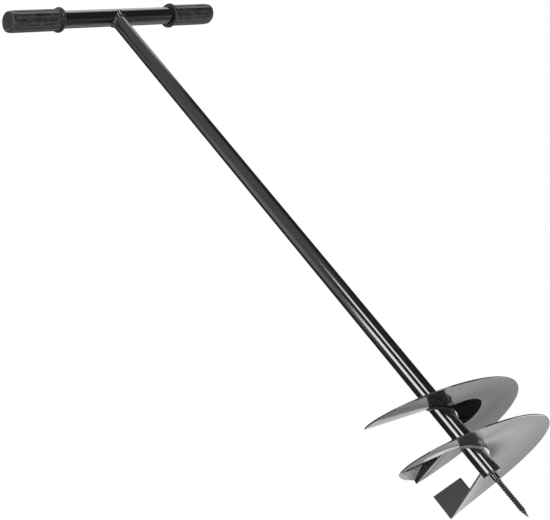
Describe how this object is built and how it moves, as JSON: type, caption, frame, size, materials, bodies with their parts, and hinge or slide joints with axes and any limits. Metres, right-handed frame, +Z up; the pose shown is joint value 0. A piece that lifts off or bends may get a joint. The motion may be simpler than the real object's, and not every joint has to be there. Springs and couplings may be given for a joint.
{
  "type": "hand soil auger",
  "caption": "Hand soil auger: long tubular shaft with a T-handle and rubber grips, spiral steel flights and a threaded pilot screw.",
  "frame": {"origin": "centre of the shaft tube's lower end face, on the shaft's axis, where the pilot screw's plain shank leaves it", "axes": "+Z up along the shaft from the screw to the handle, X along the crossbar, +Y completes the right-handed set"},
  "size_m": [0.473, 0.196, 1.0837],
  "materials": {
    "black_paint": "gloss",
    "flight_paint": "high gloss",
    "plate_paint": "matt",
    "weld_bead": "gloss, rippled",
    "screw_steel": "black oxide, satin",
    "grip_rubber": "satin"
  },
  "bodies": {
    "root": {"shaft_tube": "black_paint", "handle_tube": "black_paint", "grip_left": "grip_rubber", "grip_right": "grip_rubber", "handle_weld": "weld_bead", "upper_flight": "flight_paint", "lower_flight": "flight_paint", "upper_flight_weld": "weld_bead", "lower_flight_weld": "weld_bead", "step_plate": "flight_paint", "step_weld": "weld_bead", "cutter_plate": "plate_paint", "cutter_weld": "weld_bead", "end_plug": "black_paint", "end_plug_weld": "weld_bead", "pilot_screw": "screw_steel", "screw_weld": "weld_bead"}
  },
  "joints": []
}
